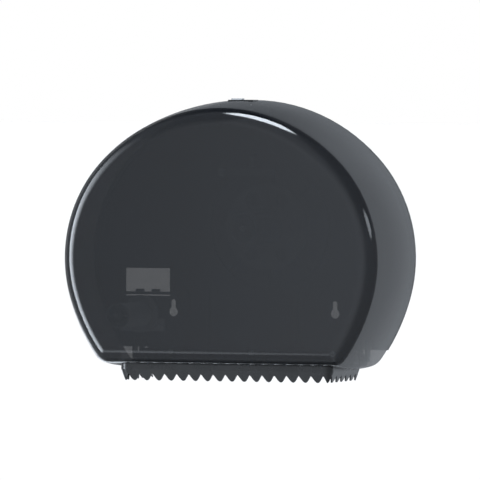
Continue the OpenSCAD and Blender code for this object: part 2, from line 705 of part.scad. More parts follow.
module stub_spool() color(light_grey) placed() translate([stub_x, stub_up, spool_from]) difference() {
    l = spool_end_d - spool_from;
    union() {
        cylinder(r = spool_flange_r, h = spool_flange_t);
        cylinder(r = spool_r, h = l);
    }
    translate([0, 0, -past]) cylinder(r = stub_axle_r + run_gap, h = l + 2 * past);
    difference() {
        translate([0, 0, spool_floor]) cylinder(r = spool_r - spool_wall, h = l);
        translate([0, 0, spool_floor - past]) cylinder(r = stub_axle_r + web_t, h = l + 2 * past);
        for (a = [0 : 90 : 270]) rotate([0, 0, a])
            translate([0, -spool_wall / 2, spool_floor - past]) cube([spool_r - 1, spool_wall, l + 2 * past]);
    }
}
module stub_cap() color(black) placed() translate([stub_x, stub_up, stub_end]) difference() {
    cylinder(r = stub_axle_r + 4, h = stub_cap_t);
    translate([0, 0, -past]) cylinder(r = screw_r + hole_gap, h = stub_cap_t + 2 * past);
}
module stub_cap_screw() color(steel) placed()
    translate([stub_x, stub_up, stub_end + stub_cap_t]) screw(stub_bore - 2 + stub_cap_t);

// ---- lock keeper on the back plate ----
keeper_arm_half = latch_w / 2 - 0.5;
keeper_drop = 5;
keeper_arm_t = 3;
keeper_rise = 4;
keeper_top = keeper_up + keeper_drop;
module lock_keeper() color(steel) placed() difference() {
    union() {
        block([-keeper_half, keeper_up - keeper_drop, boss_d],
              [keeper_half, keeper_up + keeper_rise, boss_d + keeper_plate_t]);
        block([-keeper_arm_half, keeper_top - keeper_arm_t, boss_d],
              [keeper_arm_half, keeper_top, keeper_from + keeper_t]);
        block([-keeper_arm_half, hook_top - hook_bite, keeper_from],
              [keeper_arm_half, keeper_top, keeper_from + keeper_t]);
    }
    for (p = keeper_screws_at) translate([p[0], p[1], 0]) cylinder(r = screw_r + hole_gap, h = case_d);
}
module keeper_screws() color(steel) placed() for (p = keeper_screws_at)
    translate([p[0], p[1], boss_d + keeper_plate_t]) screw(boss_d + keeper_plate_t - screw_end);

// ---- cover ----
pad_screw_edge = 5;
pad_screw_side = 4.2;
pad_screw_in = 2.6;
lock_screws = [for (x = [-1, 1], d = [pad_from + pad_screw_edge, pad_to - pad_screw_edge])
    [x * (pad_half - pad_screw_side), d]];
heel_gap = 0.4;
heel_r = hinge_up + heel_gap;
ear_x = hinge_x + lug_t + hinge_gap;

module cover_shell() {
    outer = [for (p = wall_line(0)) ring(p)];
    inner = [for (p = wall_line(cover_wall)) ring(p)];
    n = len(outer[0]);
    k = len(outer);
    rings = concat([for (i = [k - 1 : -1 : 0]) inner[i]], outer);
    walls = between(n, 2 * k);
    caps = [[for (i = [n - 1 : -1 : 0]) i], [for (i = [0 : n - 1]) (2 * k - 1) * n + i]];
    polyhedron(points = [for (r = rings) each r], faces = concat(walls, caps), convexity = 10);
}

module heel_cut() difference() {
    block([-case_w / 2, -past, 0], [case_w / 2, hinge_up, hinge_d]);
    along_x([-case_w, hinge_up, hinge_d], heel_r, 2 * case_w);
}

// Part of the flat pad under the crown that carries the lock, between two depths.
module lock_pad(a, b) intersection() {
    translate([0, 0, a]) linear_extrude(b - a)
        polygon(outline(case_h - crown_at((a + b) / 2) + cover_wall / 2));
    block([-pad_half, pad_low, a - past], [pad_half, case_h, b + past]);
}

module front_cover() color(smoke) placed() {
    difference() {
        union() {
            cover_shell();
            lock_pad(pad_from, (pad_from + pad_to) / 2);
            lock_pad((pad_from + pad_to) / 2 - bite / 2, pad_to);
        }
        block([-bezel_half - hole_gap, pad_low - past, lock_d - bezel_t / 2 - hole_gap],
              [bezel_half + hole_gap, case_h + past, lock_d + bezel_t / 2 + hole_gap]);
        for (p = lock_screws)
            along_y([p[0], pad_low - past, p[1]], screw_r + seat_gap, past + pad_screw_in + screw_end);
        block([-mouth_half, -past, 0], [mouth_half, cover_wall + crease_in, mouth_d]);
        heel_cut();
    }
    for (x = [0, 1]) mirror([x, 0, 0]) difference() {
        union() {
            block([ear_x, cover_wall - bite, hinge_d - hinge_eye_r],
                  [ear_x + ear_t, hinge_up, hinge_d + hinge_eye_r]);
            along_x([ear_x, hinge_up, hinge_d], hinge_eye_r, ear_t);
        }
        along_x([ear_x - past, hinge_up, hinge_d], hinge_pin_r + run_gap, ear_t + 2 * past);
    }
}

// ---- lock in the cover's crown ----
lock_wall = 1.6;
stem_r = 1.7;
button_skirt = 4;
well_half = button_w / 2 + lock_wall;
well_t = button_t / 2 + lock_wall;
ledge_up = bezel_top - lock_wall;
base_screw_out = 5;
base_screw_in = 5;
base_screws = [for (d = [-1, 1])
    [(button_x + well_half + barrel_x - barrel_r) / 2, lock_d + d * base_screw_out]];
base_screw_r = 1;
shank_r = barrel_r - 1;
shoulder_up = well_low + 3;
cheek_t = 3.5;
cheek_half = 5;
cheek_from = latch_w / 2 + slide_gap + 1;
pin_bore_half = cheek_from + cheek_t + past;
module lock_housing() color(charcoal) placed() difference() {
    union() {
        block([-bezel_half, well_low, lock_d - bezel_t / 2], [bezel_half, bezel_top, lock_d + bezel_t / 2]);
        block([-pad_half, flange_low, pad_from], [pad_half, pad_low, pad_to]);
        for (x = [-1, 1]) scale([x, 1, 1])
            block([cheek_from, latch_up - cheek_half, latch_pivot_d - cheek_half],
                  [cheek_from + cheek_t, flange_low + past, latch_pivot_d + cheek_half]);
    }
    block([button_x - button_w / 2 - slide_gap, well_low - past, lock_d - button_t / 2 - slide_gap],
          [button_x + button_w / 2 + slide_gap, bezel_top + past, lock_d + button_t / 2 + slide_gap]);
    block([button_x - well_half, well_low - past, lock_d - well_t],
          [button_x + well_half, ledge_up, lock_d + well_t]);
    along_y([barrel_x, shoulder_up, lock_d], barrel_r + run_gap, bezel_top - shoulder_up + past);
    along_y([barrel_x, well_low - past, lock_d], shank_r + run_gap, shoulder_up - well_low + 2 * past);
    along_x([-pin_bore_half, latch_up, latch_pivot_d], latch_pin_r + seat_gap, 2 * pin_bore_half);
    for (p = lock_screws)
        along_y([p[0], flange_low - past, p[1]], screw_r + hole_gap, pad_low - flange_low + 2 * past);
    for (p = base_screws)
        along_y([p[0], well_low - past, p[1]], base_screw_r + seat_gap, past + base_screw_in + screw_end);
}
module lock_base() color(charcoal) placed() difference() {
    block([-bezel_half, floor_low, lock_d - bezel_t / 2], [bezel_half, well_low, lock_d + bezel_t / 2]);
    along_y([button_x, floor_low - past, lock_d], stem_r + slide_gap, well_low - floor_low + 2 * past);
    along_y([barrel_x, floor_low - past, lock_d], shank_r + run_gap, well_low - floor_low + 2 * past);
    for (p = base_screws)
        along_y([p[0], floor_low - past, p[1]], base_screw_r + hole_gap, well_low - floor_low + 2 * past);
}
module lock_base_screws() color(steel) placed() for (p = base_screws)
    translate([p[0], floor_low, p[1]]) rotate([90, 0, 0])
        screw(well_low - floor_low + base_screw_in, r = base_screw_r, head = base_screw_r + 1, head_h = 1);
module lock_housing_screws() color(steel) placed() for (p = lock_screws)
    translate([p[0], flange_low, p[1]]) rotate([90, 0, 0]) screw(pad_low - flange_low + pad_screw_in);

button_low = ledge_up - button_skirt;
stem_low = latch_up + latch_t / 2 + button_travel + slide_gap;
module lock_button() color(light_grey) placed() {
    block([button_x - button_w / 2, button_low, lock_d - button_t / 2],
          [button_x + button_w / 2, bezel_top + button_proud, lock_d + button_t / 2]);
    block([button_x - well_half + slide_gap, button_low, lock_d - well_t + slide_gap],
          [button_x + well_half - slide_gap, ledge_up - slide_gap, lock_d + well_t - slide_gap]);
    along_y([button_x, stem_low, lock_d], stem_r, button_low - stem_low + bite / 2);
}
button_spring_r = 3;
button_spring_wire = 0.4;
lock_spring_turns = 4;
cam_gap = 0.2;
module button_spring() color(steel) placed()
    coil(button_x, lock_d, well_low, button_low, button_spring_r, button_spring_wire, lock_spring_turns);

slot_half = 0.9;
slot_reach = 3.2;
slot_depth = 4.8;
barrel_sink = 1.2;
cam_t = 2;
cam_top = floor_low - cam_gap;
cam_low = cam_top - cam_t;
spigot_r = 2;
finger_half = 2;
finger_reach = 9.5;
module key_barrel() color(black) placed() difference() {
    union() {
        along_y([barrel_x, shoulder_up + hole_gap, lock_d], barrel_r,
            bezel_top - barrel_sink - shoulder_up - hole_gap);
        along_y([barrel_x, cam_top, lock_d], shank_r, shoulder_up - cam_top + bite);
        along_y([barrel_x, cam_low, lock_d], spigot_r, cam_t + bite / 2);
    }
    block([barrel_x - slot_half, bezel_top - barrel_sink - slot_depth, lock_d - slot_reach],
          [barrel_x + slot_half, bezel_top, lock_d + slot_reach]);
}
// The cam's finger holds the latch's ridge down, and frees it when the key is turned.
module key_cam() color(steel) placed() difference() {
    union() {
        along_y([barrel_x, cam_low, lock_d], shank_r + 1.2, cam_t);
        block([barrel_x - finger_half, cam_low, lock_d],
              [barrel_x + finger_half, cam_top, lock_d + finger_reach]);
    }
    along_y([barrel_x, cam_low - past, lock_d], spigot_r + seat_gap, cam_t + 2 * past);
}

// The latch is drawn locked, level with its pivot, and then turned down to where it rests released.
ridge_d = [lock_d + 6, lock_d + 9];
ridge_gap = 0.5;
ridge_drop = (latch_pivot_d - lock_d - 7.5) * sin(latch_turn);
ridge_h = cam_low - ridge_gap - (latch_up + latch_t / 2 - ridge_drop);
tail_d = latch_pivot_d + 8;
tail_half = 6;
eye_r = 4;
ridge_half = 0.8;
hook_half = latch_w / 2 - 1.5;
module latch_arm() color(mid_grey) placed()
    translate([0, latch_up, latch_pivot_d]) rotate([-latch_turn, 0, 0])
    translate([0, -latch_up, -latch_pivot_d]) difference() {
        union() {
            block([-latch_w / 2, latch_up - latch_t / 2, hook_d],
                  [latch_w / 2, latch_up + latch_t / 2, latch_pivot_d]);
            block([-hook_half, latch_up, hook_d], [hook_half, hook_top, hook_d + hook_t]);
            block([barrel_x - ridge_half, latch_up, ridge_d[0]],
                  [barrel_x + ridge_half, latch_up + latch_t / 2 + ridge_h, ridge_d[1]]);
            block([-tail_half, latch_up - latch_t / 2, latch_pivot_d],
                  [tail_half, latch_up + latch_t / 2, tail_d]);
            along_x([-latch_w / 2, latch_up, latch_pivot_d], eye_r, latch_w);
        }
        along_x([-pin_bore_half, latch_up, latch_pivot_d], latch_pin_r + run_gap, 2 * pin_bore_half);
    }
pin_half = latch_w / 2 + slide_gap + 5;
module latch_pin() color(steel) placed()
    along_x([-pin_half, latch_up, latch_pivot_d], latch_pin_r, 2 * pin_half);
latch_spring_d = tail_d - 3;
latch_spring_r = 2.2;
latch_spring_wire = 0.35;
latch_spring_gap = 0.05;
latch_spring_low = latch_up + latch_t / 2 + (tail_d - latch_pivot_d) * sin(latch_turn) + latch_spring_gap;
module latch_spring() color(steel) placed()
    coil(0, latch_spring_d, latch_spring_low, flange_low,
         latch_spring_r, latch_spring_wire, lock_spring_turns);

back_plate();
hinge_pins();
tear_frame();
tear_frame_screws();
hub_axle();
hub_axle_screws();
core_hub();
core_grips();
hub_cap();
hub_cap_screw();
brake_arm();
brake_pad();
brake_pivot_screw();
brake_spring();
stub_bracket();
stub_bracket_screws();
stub_spool();
stub_cap();
stub_cap_screw();
lock_keeper();
keeper_screws();
front_cover();
lock_housing();
lock_housing_screws();
lock_base();
lock_base_screws();
lock_button();
button_spring();
key_barrel();
key_cam();
latch_arm();
latch_pin();
latch_spring();
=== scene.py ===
# %% [markdown]
# # A wall-mounted jumbo roll dispenser
# The dispenser is a smoke plastic cover over a black back plate, with a toothed frame below
# where the paper comes out. The CAD model gives every piece its place and size, and this script
# gives each one its finish. It starts by loading that model, and it keeps the model's box, which
# sets the floor's height further down.

# %% Load the CAD frame
import json
import math

import bmesh
import bpy
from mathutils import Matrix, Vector


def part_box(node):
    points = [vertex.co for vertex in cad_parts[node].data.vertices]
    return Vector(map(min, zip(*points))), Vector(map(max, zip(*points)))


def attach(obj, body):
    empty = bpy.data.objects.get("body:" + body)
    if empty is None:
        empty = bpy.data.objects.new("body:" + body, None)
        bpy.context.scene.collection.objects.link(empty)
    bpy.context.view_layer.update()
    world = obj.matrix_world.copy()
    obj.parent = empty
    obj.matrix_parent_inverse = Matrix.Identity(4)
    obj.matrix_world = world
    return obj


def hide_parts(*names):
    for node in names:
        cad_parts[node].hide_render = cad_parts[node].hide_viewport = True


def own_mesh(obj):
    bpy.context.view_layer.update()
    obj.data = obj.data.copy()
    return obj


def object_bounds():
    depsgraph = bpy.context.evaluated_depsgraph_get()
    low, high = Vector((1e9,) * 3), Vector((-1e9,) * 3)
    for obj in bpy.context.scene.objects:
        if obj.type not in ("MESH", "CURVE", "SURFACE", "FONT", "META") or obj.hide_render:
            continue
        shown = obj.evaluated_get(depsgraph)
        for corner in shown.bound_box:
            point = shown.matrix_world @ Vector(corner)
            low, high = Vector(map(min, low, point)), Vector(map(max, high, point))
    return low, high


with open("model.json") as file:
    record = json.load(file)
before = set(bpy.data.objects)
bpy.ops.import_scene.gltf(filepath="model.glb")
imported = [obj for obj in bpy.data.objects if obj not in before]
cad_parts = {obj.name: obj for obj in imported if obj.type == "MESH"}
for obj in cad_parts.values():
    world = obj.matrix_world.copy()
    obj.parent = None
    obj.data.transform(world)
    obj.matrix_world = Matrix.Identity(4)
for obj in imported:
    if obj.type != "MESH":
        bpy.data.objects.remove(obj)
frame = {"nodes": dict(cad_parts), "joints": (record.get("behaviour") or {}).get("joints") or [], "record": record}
cad_box = [[float(c) for c in corner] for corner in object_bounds()]
MM = 0.001


# %% [markdown]
# The case frame is the easiest one to think in: x to the right, y up from the case's lowest
# edge and d out from the wall, all in millimetres. One helper turns such a place into Blender's
# metres, where the wall is the plane y = 0 and the front faces -Y.

# %% Case frame
case_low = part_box("back_plate")[0].z


def place(x, y, d):
    """A place in the case frame, in millimetres, as a point in metres."""
    return Vector((x * MM, -d * MM, case_low + y * MM))


def unplace(point):
    """A point in metres, as (x, y, d) in the case frame."""
    return point.x / MM, (point.z - case_low) / MM, -point.y / MM


plate_box = [unplace(corner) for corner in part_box("back_plate")]
case_w = 2 * plate_box[1][0]
case_h = plate_box[1][1]
case_d = unplace(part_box("front_cover")[0])[2]
print(f"case {case_w:.1f} wide, {case_h:.1f} high, {case_d:.1f} deep, lowest edge at {case_low:.4f} m")


# %% [markdown]
# The camera stands far off with a long lens, so that parallel edges stay nearly parallel. It
# looks a little from the right and from just above. The lens shift sets where the middle of
# the case falls in a picture of 480 by 480.

# %% Camera
IMAGE = 480
lens_px = 10000
px_per_mm = 0.793
view_az = math.radians(21.6)
view_el = math.radians(1.48)
aim = place(0, 180, 66)
aim_px = (235.4, 224.7)

camera_data = bpy.data.cameras.new("camera")
camera_data.sensor_width = 36
camera_data.lens = lens_px * camera_data.sensor_width / IMAGE
camera_data.clip_end = 100
camera_data.shift_x = (IMAGE / 2 - aim_px[0]) / IMAGE
camera_data.shift_y = (aim_px[1] - IMAGE / 2) / IMAGE
camera = bpy.data.objects.new("camera", camera_data)
bpy.context.scene.collection.objects.link(camera)
distance = lens_px / px_per_mm * MM
direction = Vector((
    math.sin(view_az) * math.cos(view_el),
    -math.cos(view_az) * math.cos(view_el),
    math.sin(view_el),
))
camera.location = aim + direction * distance
camera.rotation_euler = direction.to_track_quat("Z", "Y").to_euler()
bpy.context.scene.camera = camera
print(f"camera {distance:.2f} m away, lens {camera_data.lens:.0f} mm")


# %% [markdown]
# Glossy dark plastic shows little colour of its own: what we see on it is the room. So the
# room is drawn with care, all in the world shader, where a light can have any shape and costs
# no geometry. Every direction has an azimuth, counted from the front towards the right, and an
# elevation. Ramps over these two angles give the walls their brightness, and the camera itself
# sees only plain white.

# %% Room nodes
room = bpy.data.worlds.new("studio")
bpy.context.scene.world = room
room.use_nodes = True
bpy.context.scene.view_settings.view_transform = "Standard"


def node(tree, kind, **values):
    """A node of that kind, with its properties and its sockets' defaults set."""
    made = tree.nodes.new(kind)
    for name, value in values.items():
        if name.startswith("in_"):
            key = name[3:]
            made.inputs[int(key) if key.isdigit() else key.replace("_", " ")].default_value = value
        else:
            setattr(made, name, value)
    return made


def math_node(tree, operation, a, b=None):
    """A Math node whose inputs are sockets or numbers."""
    made = node(tree, "ShaderNodeMath", operation=operation)
    for i, value in enumerate((a, b)):
        if value is None:
            continue
        if isinstance(value, bpy.types.NodeSocket):
            tree.links.new(value, made.inputs[i])
        else:
            made.inputs[i].default_value = value
    return made.outputs[0]


def levels(tree, angle, stops):
    """Brightness along an angle in degrees, straight between stops of (degrees, level)."""
    first, last = stops[0][0], stops[-1][0]
    share = math_node(tree, "DIVIDE", math_node(tree, "SUBTRACT", angle, first), last - first)
    ramp = node(tree, "ShaderNodeValToRGB")
    tree.links.new(share, ramp.inputs[0])
    top = max(level for _, level in stops)
    for i, (degrees, level) in enumerate(stops):
        place_on_ramp = (degrees - first) / (last - first)
        stop = ramp.color_ramp.elements[i] if i < 2 else ramp.color_ramp.elements.new(place_on_ramp)
        stop.position = place_on_ramp
        stop.color = (level / top, level / top, level / top, 1)
    return math_node(tree, "MULTIPLY", ramp.outputs["Color"], top)


def smooth_step(tree, value, low, high):
    """Runs smoothly from 0 to 1 while the value goes from low to high."""
    step = node(tree, "ShaderNodeMapRange", interpolation_type="SMOOTHSTEP")
    tree.links.new(value, step.inputs["Value"])
    step.inputs["From Min"].default_value = low
    step.inputs["From Max"].default_value = high
    return step.outputs[0]


def patch(tree, azimuth, elevation, centre, half, soft, level):
    """A soft-edged oval light: its centre and half sizes in degrees, and its brightness."""
    across = math_node(tree, "DIVIDE", math_node(tree, "SUBTRACT", azimuth, centre[0]), half[0])
    up = math_node(tree, "DIVIDE", math_node(tree, "SUBTRACT", elevation, centre[1]), half[1])
    squares = math_node(tree, "ADD", math_node(tree, "POWER", math_node(tree, "ABSOLUTE", across), 2),
                        math_node(tree, "POWER", math_node(tree, "ABSOLUTE", up), 2))
    return math_node(tree, "MULTIPLY", smooth_step(tree, squares, 1 + soft, 1 - soft), level)


print("room helpers ready")


# %% [markdown]
# The walls in front and beside the case are one ramp over the azimuth, and those behind it are
# another. A tall window-like light stands on the left: sharp at its far edge, fading towards
# the front, and leaning with height. A round panel hangs almost overhead and draws the thin
# bright line on the upper edge of the cover. A small lamp on the right and a glow low on the
# left give the two small lights of the lower corner and the right edge.

# %% Room
WALLS = [
    (-180, 0.34), (-160, 0.12), (-150, 0.1), (-130, 0.18), (-110, 0.34), (-90, 0.62), (-70, 0.95),
    (-60, 1.0), (-30, 0.98), (-22.6, 1.0), (-21.85, 1.02), (-21.5, 1.2), (-21.1, 1.32), (-20, 1.4),
    (8, 1.4), (24, 1.15), (40, 0.86), (60, 0.78), (90, 0.74), (110, 0.6), (130, 0.48), (160, 0.38),
    (180, 0.34),
]
BEHIND = [
    (-180, 0.68), (-168, 0.44), (-158, 0.32), (-148, 0.18), (-120, 0.3), (0, 0.8), (120, 1.25),
    (137, 1.36), (150, 1.12), (162, 1.0), (172, 0.86), (180, 0.68),
]
TILT = [(-90, 0.95), (-60, 0.85), (-35, 1.0), (-15, 1.0), (8, 1.0), (28, 0.78), (60, 0.72), (90, 0.72)]
WINDOW = [
    (-120, 0.0), (-69, 0.0), (-67, 15.5), (-58, 15.0), (-50, 11.0), (-43, 6.3), (-36, 1.6),
    (-30, 0.0), (0, 0.0),
]
WINDOW_RISE = [
    (-90, 0.0), (-36, 0.0), (-27, 0.7), (-13, 1.0), (6, 1.0),
    (12, 0.75), (18, 0.55), (24, 0.33), (30, 0.12), (36, 0.0), (90, 0.0),
]
window_lean = 0.45
rear_skew, rear_edge = 0.13, (0.75, 0.82)
panel_pole, panel_edge, panel_level = (-0.08, -0.1640, 0.9832), (0.962, 0.981), 22.0
LAMP = {"centre": (87, 20), "half": (13, 8), "soft": 0.6, "level": 4.5}
GLOW = {"centre": (-135, -28), "half": (24, 18), "soft": 0.6, "level": 3.0}
room_hue, seen_hue = (0.93, 1.0, 1.09, 1), (1, 1, 1, 1)


def build_room(tree):
    """Fills the world's node tree: walls, window, panel, lamp and glow."""
    tree.nodes.clear()
    where = node(tree, "ShaderNodeTexCoord").outputs["Generated"]
    split = node(tree, "ShaderNodeSeparateXYZ")
    tree.links.new(where, split.inputs[0])
    x, y, z = split.outputs
    turn = math_node(tree, "ARCTAN2", x, math_node(tree, "MULTIPLY", y, -1.0))
    azimuth = math_node(tree, "DEGREES", turn)
    elevation = math_node(tree, "DEGREES", math_node(tree, "ARCSINE", z))

    walls = math_node(tree, "MULTIPLY", levels(tree, azimuth, WALLS), levels(tree, elevation, TILT))
    rearward = math_node(tree, "ADD", y, math_node(tree, "MULTIPLY", x, rear_skew))
    base = node(tree, "ShaderNodeMix", data_type="FLOAT")
    tree.links.new(smooth_step(tree, rearward, *rear_edge), base.inputs["Factor"])
    tree.links.new(walls, base.inputs["A"])
    tree.links.new(levels(tree, azimuth, BEHIND), base.inputs["B"])

    leaning = math_node(tree, "ADD", azimuth, math_node(tree, "MULTIPLY", elevation, window_lean))
    rise = levels(tree, elevation, WINDOW_RISE)
    window = math_node(tree, "MULTIPLY", levels(tree, leaning, WINDOW), rise)
    pole = node(tree, "ShaderNodeVectorMath", operation="DOT_PRODUCT")
    tree.links.new(where, pole.inputs[0])
    pole.inputs[1].default_value = panel_pole
    overhead = smooth_step(tree, pole.outputs["Value"], *panel_edge)
    panel = math_node(tree, "MULTIPLY", overhead, panel_level)
    lamp = patch(tree, azimuth, elevation, **LAMP)
    glow = patch(tree, azimuth, elevation, **GLOW)
    total = base.outputs["Result"]
    for light in (window, panel, lamp, glow):
        total = math_node(tree, "ADD", total, light)

    seen = node(tree, "ShaderNodeLightPath").outputs["Is Camera Ray"]
    level = node(tree, "ShaderNodeMix", data_type="FLOAT")
    tree.links.new(seen, level.inputs["Factor"])
    tree.links.new(total, level.inputs["A"])
    level.inputs["B"].default_value = 1.0
    hue = node(tree, "ShaderNodeMix", data_type="RGBA")
    hue.inputs["A"].default_value = room_hue
    hue.inputs["B"].default_value = seen_hue
    tree.links.new(seen, hue.inputs["Factor"])
    background = node(tree, "ShaderNodeBackground")
    tree.links.new(hue.outputs["Result"], background.inputs["Color"])
    tree.links.new(level.outputs["Result"], background.inputs["Strength"])
    out = node(tree, "ShaderNodeOutputWorld")
    tree.links.new(background.outputs[0], out.inputs["Surface"])


build_room(room.node_tree)
print("room nodes:", len(room.node_tree.nodes))


# %% [markdown]
# The floor is a plain sheet well below the case. Its base is a mid grey, and its own glow and the
# light of the room bring it near the white that the camera sees behind the case. Reflections
# leave it out, so it lights the case's underside and doesn't show in the gloss.

# %% Floor
floor_half, floor_below = 40, 0.35


def pale_floor():
    """A square sheet below the case, left out of reflections."""
    sheet = bpy.data.materials.new("pale_floor")
    sheet.use_nodes = True
    shader = sheet.node_tree.nodes["Principled BSDF"]
    shader.inputs["Base Color"].default_value = (0.26, 0.25, 0.24, 1)
    shader.inputs["Roughness"].default_value = 0.9
    shader.inputs["Specular IOR Level"].default_value = 0.0
    shader.inputs["Emission Color"].default_value = (1, 1, 1, 1)
    shader.inputs["Emission Strength"].default_value = 0.54
    mesh = bpy.data.meshes.new("floor")
    level = cad_box[0][2] - floor_below
    signs = ((-1, -1), (1, -1), (1, 1), (-1, 1))
    corners = [(x * floor_half, y * floor_half, level) for x, y in signs]
    mesh.from_pydata(corners, [], [(0, 1, 2, 3)])
    floor = bpy.data.objects.new("floor", mesh)
    floor.data.materials.append(sheet)
    bpy.context.scene.collection.objects.link(floor)
    floor.visible_glossy = False
    return floor


floor = pale_floor()
print("floor at", round(floor.data.vertices[0].co.z, 3), "m")


# %% [markdown]
# ## Finishes
# Every plastic here is the same kind of shader with other numbers: a base colour that drifts a
# little, a roughness that drifts with it, and a fine grain as bump. The patterns read Object
# coordinates, so they sit still on the piece. Numbers that are the same all over go on the
# shader's own sockets.

# %% Plastic
def new_material(name):
    """A node material, its tree and its shader."""
    made = bpy.data.materials.new(name)
    made.use_nodes = True
    tree = made.node_tree
    return made, tree, tree.nodes["Principled BSDF"]


def drift(tree, scale, low, high, detail=4.0):
    """A noise over the piece, mapped to run between two numbers."""
    where = node(tree, "ShaderNodeTexCoord").outputs["Object"]
    noise = node(tree, "ShaderNodeTexNoise", in_Scale=scale, in_Detail=detail)
    tree.links.new(where, noise.inputs["Vector"])
    span = node(tree, "ShaderNodeMapRange")
    tree.links.new(noise.outputs["Fac"], span.inputs["Value"])
    span.inputs["From Min"].default_value = 0.3
    span.inputs["From Max"].default_value = 0.7
    span.inputs["To Min"].default_value = low
    span.inputs["To Max"].default_value = high
    return span.outputs[0]


def tint(tree, shader, colour, spread, scale):
    """Lets the base colour drift between darker and lighter by a share of itself."""
    ramp = node(tree, "ShaderNodeValToRGB")
    tree.links.new(drift(tree, scale, 0, 1), ramp.inputs[0])
    for stop, factor in zip(ramp.color_ramp.elements, (1 - spread, 1 + spread)):
        stop.color = tuple(min(1, c * factor) for c in colour) + (1,)
    tree.links.new(ramp.outputs["Color"], shader.inputs["Base Color"])


def grain(tree, shader, scale, depth_mm):
    """A fine moulded grain as bump."""
    height = drift(tree, scale, 0, 1, detail=2.0)
    bump = node(tree, "ShaderNodeBump", in_Strength=0.5, in_Distance=depth_mm * MM)
    tree.links.new(height, bump.inputs["Height"])
    tree.links.new(bump.outputs[0], shader.inputs["Normal"])


def plastic(name, colour, rough, grain_mm=0.02, grain_scale=2500, spread=0.12, ior=1.5):
    """A moulded plastic with a drifting colour and roughness and a fine grain."""
    made, tree, shader = new_material(name)
    tint(tree, shader, colour, spread, 30)
    tree.links.new(drift(tree, 45, rough * 0.85, rough * 1.15), shader.inputs["Roughness"])
    grain(tree, shader, grain_scale, grain_mm)
    shader.inputs["IOR"].default_value = ior
    return made


black_plastic = plastic("black_plastic", (0.007, 0.0075, 0.008), 0.35, ior=1.45)
charcoal_plastic = plastic("charcoal_plastic", (0.004, 0.0045, 0.005), 0.27, ior=1.42)
grey_plastic = plastic("grey_plastic", (0.10, 0.105, 0.11), 0.4)
light_grey_plastic = plastic("light_grey_plastic", (0.42, 0.43, 0.44), 0.4)
rubber = plastic("rubber", (0.02, 0.02, 0.02), 0.75, grain_mm=0.06, grain_scale=900)
plastics = (black_plastic, charcoal_plastic, grey_plastic, light_grey_plastic, rubber)
print("plastics:", *(made.name for made in plastics))


# %% [markdown]
# The cover is a polished smoke plastic: nearly black, with a gloss like glass, and thin enough
# that bright things behind it show faintly. Its alpha, a plain number on the socket, lets that
# little light through. The sides are a shade less polished than the front, as a mould's sides
# are, so the roughness grows away from the front face.

# %% Smoke plastic
polished_in, dull_in = 22, 40


def smoke_plastic():
    """The cover's plastic, duller from polished_in to dull_in behind the front face."""
    made, tree, shader = new_material("smoke_plastic")
    tint(tree, shader, (0.0016, 0.0026, 0.0042), 0.25, 6)
    where = node(tree, "ShaderNodeTexCoord").outputs["Object"]
    split = node(tree, "ShaderNodeSeparateXYZ")
    tree.links.new(where, split.inputs[0])
    back = node(tree, "ShaderNodeMapRange")
    tree.links.new(split.outputs["Y"], back.inputs["Value"])
    back.inputs["From Min"].default_value = -(case_d - polished_in) * MM
    back.inputs["From Max"].default_value = -(case_d - dull_in) * MM
    back.inputs["To Min"].default_value = 0.035
    back.inputs["To Max"].default_value = 0.16
    rough = math_node(tree, "ADD", back.outputs[0], drift(tree, 20, -0.01, 0.01))
    tree.links.new(rough, shader.inputs["Roughness"])
    shader.inputs["IOR"].default_value = 1.5
    shader.inputs["Alpha"].default_value = 0.765
    return made


smoke = smoke_plastic()
smoke_shader = smoke.node_tree.nodes["Principled BSDF"]
print("smoke plastic, alpha", round(smoke_shader.inputs["Alpha"].default_value, 3))


# %% [markdown]
# The screws, pins and springs are steel. Drawn and turned steel has fine scratches in one
# direction, so the noise is stretched along one axis before it drives roughness and bump.

# %% Steel
def steel_finish():
    """Steel with fine scratches along one axis."""
    made, tree, shader = new_material("steel")
    where = node(tree, "ShaderNodeTexCoord").outputs["Object"]
    stretch = node(tree, "ShaderNodeMapping")
    stretch.inputs["Scale"].default_value = (3000, 3000, 60)
    tree.links.new(where, stretch.inputs["Vector"])
    noise = node(tree, "ShaderNodeTexNoise", in_Scale=1.0, in_Detail=3.0)
    tree.links.new(stretch.outputs[0], noise.inputs["Vector"])
    rough = node(tree, "ShaderNodeMapRange")
    tree.links.new(noise.outputs["Fac"], rough.inputs["Value"])
    rough.inputs["To Min"].default_value = 0.22
    rough.inputs["To Max"].default_value = 0.42
    tree.links.new(rough.outputs[0], shader.inputs["Roughness"])
    bump = node(tree, "ShaderNodeBump", in_Strength=0.3, in_Distance=0.02 * MM)
    tree.links.new(noise.outputs["Fac"], bump.inputs["Height"])
    tree.links.new(bump.outputs[0], shader.inputs["Normal"])
    tint(tree, shader, (0.55, 0.56, 0.58), 0.06, 60)
    shader.inputs["Metallic"].default_value = 1.0
    return made


steel = steel_finish()
print("steel ready")


# %% [markdown]
# Every CAD piece now gets its finish. The record names a material slot for every node, so one
# table from slot to finish dresses them all. The cover, the screws and the springs are drawn
# again further down, and their new pieces take the places of these.

# %% Dress the CAD pieces
FINISH = {
    "smoke_plastic": smoke, "black_plastic": black_plastic, "charcoal_plastic": charcoal_plastic,
    "grey_plastic": grey_plastic, "light_grey_plastic": light_grey_plastic, "rubber": rubber,
    "steel": steel,
}
slots = {sub["node"]: sub["material_slot"] for sub in frame["record"]["subparts"]}
for name, piece in frame["nodes"].items():
    piece.data.materials.clear()
    piece.data.materials.append(FINISH[slots[name]])
print("dressed", len(slots), "pieces")


# %% [markdown]
# ## Cover
# The cover's outline is four arcs a side, each tangent to the next: crown, shoulder, flank and
# corner. The CAD model draws it with flat facets, which a polished surface would show, so the
# cover is drawn again here by the same rule with many more points, and with smooth shading.

